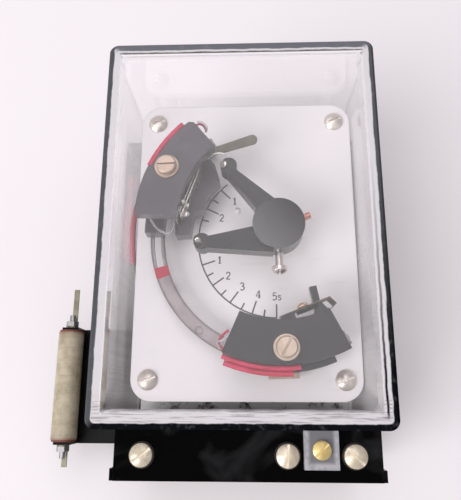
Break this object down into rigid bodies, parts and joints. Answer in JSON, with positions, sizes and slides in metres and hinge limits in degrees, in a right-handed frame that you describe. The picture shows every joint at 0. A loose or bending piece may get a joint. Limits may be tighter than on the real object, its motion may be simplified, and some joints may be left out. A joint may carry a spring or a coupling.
{
  "type": "time relay",
  "caption": "Clockwork time relay: contact blocks set along an arc rail on a white dial, under a clear cover on a black base with a terminal shelf, and a tubular resistor at the side.",
  "frame": {"origin": "middle of the base's rear face, behind the middle of the clear cover", "axes": "+X to the right and +Y to the top of the relay, +Z out of the panel through the dial; the relay lies on its back at rest"},
  "size_m": [0.1638, 0.1895, 0.118],
  "materials": {
    "black_moulding": "glossy black phenolic moulding",
    "gasket": "dark sheet gasket",
    "clear_cover": "clear polished plastic",
    "brass_screw": "bright brass",
    "nickel": "nickel-plated, slightly warm",
    "dial_paint": "satin off-white enamel",
    "steel": "bare steel",
    "rail_metal": "dull grey metal",
    "clock_brass": "rolled brass",
    "black_carrier": "satin black moulding",
    "silver": "silver",
    "pale_screw": "pale plated brass",
    "copper_screw": "coppery brass",
    "champagne_screw": "warm nickel plate",
    "olive_strip": "dull olive-grey metal",
    "dark_leaf": "dark bronze-grey",
    "gold_contact": "gold-coloured",
    "red_sleeve": "red sleeve",
    "clear_wire": "clear sleeve",
    "bobbin_brown": "brown moulding",
    "winding": "copper winding under red tape",
    "resistor_glaze": "olive-grey glazed ceramic",
    "fibre": "red-brown fibre",
    "bracket_paint": "black enamel"
  },
  "bodies": {
    "case": {"base": "black_moulding", "gasket": "gasket", "cover": "clear_cover", "cover_screw": "brass_screw", "terminal_screws": "nickel", "terminal_washers": "nickel", "dial_screws": "nickel", "small_screws": "nickel", "dial_plate": "dial_paint", "dial_posts": "steel", "frame_rear": "steel", "rail_posts": "steel", "mainspring_drum": "steel", "yoke": "steel", "resistor_stud": "steel", "arc_rail": "rail_metal", "frame_front": "clock_brass", "frame_pillars": "clock_brass", "resistor_tabs": "olive_strip", "internal_leads": "red_sleeve", "bobbin": "bobbin_brown", "coil_winding": "winding", "resistor_tube": "resistor_glaze", "resistor_washers": "fibre", "resistor_bracket": "bracket_paint"},
    "carrier": {"contact_carrier": "black_carrier", "carrier_contacts": "silver", "carrier_set_screw": "pale_screw", "carrier_clamp_screw": "copper_screw", "main_shaft": "steel", "main_wheel": "clock_brass", "main_pinion": "clock_brass"},
    "sector": {"sector_gear": "clock_brass", "sector_arbor": "steel"},
    "second_train": {"second_wheel": "clock_brass", "second_arbor": "steel"},
    "escape_train": {"escape_wheel": "clock_brass", "escape_arbor": "steel"},
    "pallets": {"pallet": "clock_brass", "pallet_arbor": "steel"},
    "magnet_plunger": {"plunger": "steel", "return_spring": "steel"},
    "upper_contact_block": {"upper_block": "black_carrier", "upper_foot": "black_carrier", "upper_clamp_screw": "champagne_screw", "upper_clamp_washer": "champagne_screw", "upper_rail_nut": "champagne_screw", "upper_leaves": "silver", "upper_rivets": "silver", "upper_lever": "olive_strip", "upper_sleeve": "red_sleeve", "upper_loop": "clear_wire"},
    "lower_contact_block": {"lower_block": "black_carrier", "lower_foot": "black_carrier", "lower_clamp_screw": "champagne_screw", "lower_clamp_washer": "champagne_screw", "lower_rail_nut": "champagne_screw", "lower_leaf": "dark_leaf", "lower_contact": "gold_contact", "lower_sleeve": "red_sleeve"}
  },
  "joints": [
    {"name": "carrier_turn", "type": "hinge", "parent": "case", "child": "carrier", "pos_m": [0.0166, 0.0034, 0.0905], "axis": [0, 0, 1], "range_deg": [0, 82]},
    {"name": "sector_turn", "type": "hinge", "parent": "case", "child": "sector", "pos_m": [-0.03414, 0.02187, 0.03], "axis": [0, 0, 1], "range_deg": [-20.5, 0]},
    {"name": "second_turn", "type": "hinge", "parent": "case", "child": "second_train", "pos_m": [0.03091, 0.0263, 0.046], "axis": [0, 0, 1], "range_deg": [-328, 0]},
    {"name": "escape_turn", "type": "hinge", "parent": "case", "child": "escape_train", "pos_m": [0.01454, 0.03575, 0.052], "axis": [0, 0, 1], "range_deg": [0, 1148]},
    {"name": "pallet_swing", "type": "hinge", "parent": "case", "child": "pallets", "pos_m": [0.00085, 0.03866, 0.051], "axis": [0, 0, 1], "range_deg": [-6, 6]},
    {"name": "plunger_slide", "type": "slide", "parent": "case", "child": "magnet_plunger", "axis": [0, -1, 0], "range_m": [0, 0.007], "stiffness_N_per_m": 60, "springref_m": -0.01},
    {"name": "upper_block_set", "type": "hinge", "parent": "case", "child": "upper_contact_block", "pos_m": [0.0166, 0.0034, 0.0905], "axis": [0, 0, 1], "range_deg": [0, 18]},
    {"name": "lower_block_set", "type": "hinge", "parent": "case", "child": "lower_contact_block", "pos_m": [0.0166, 0.0034, 0.0905], "axis": [0, 0, 1], "range_deg": [-40, 0]}
  ],
  "couplings": [
    {"joint": "sector_turn", "follows": "carrier_turn", "ratio": -0.25},
    {"joint": "second_turn", "follows": "carrier_turn", "ratio": -4},
    {"joint": "escape_turn", "follows": "carrier_turn", "ratio": 14}
  ]
}
